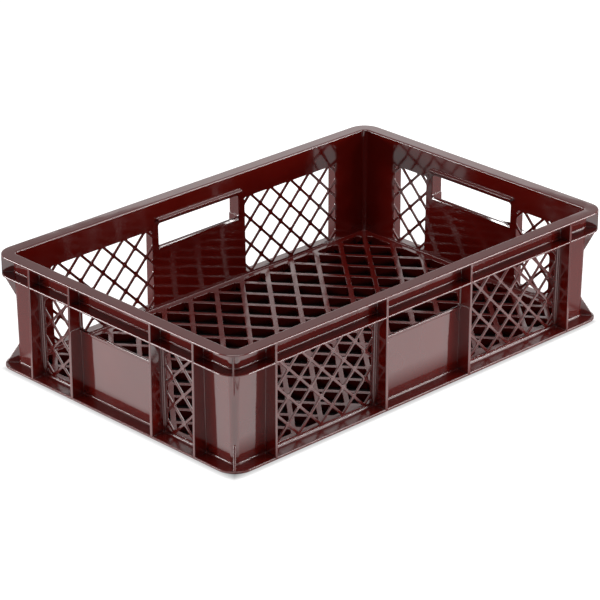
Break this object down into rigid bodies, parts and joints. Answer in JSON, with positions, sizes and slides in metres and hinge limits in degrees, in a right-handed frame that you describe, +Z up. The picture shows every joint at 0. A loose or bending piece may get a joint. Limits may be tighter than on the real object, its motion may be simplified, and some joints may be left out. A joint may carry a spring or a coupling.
{
  "type": "bakery crate",
  "caption": "Low stacking crate with open lattice walls, an open grid floor, a hand slot in each side, ribbed outside walls and a broad flat rim.",
  "frame": {"origin": "centre of the footprint, on the ground plane that the stacking foot rests on", "axes": "+X along the long side, +Y along the short side, +Z up"},
  "size_m": [0.6, 0.4, 0.145],
  "materials": {
    "crate": "gloss"
  },
  "bodies": {
    "root": {"crate": "crate"}
  },
  "joints": []
}
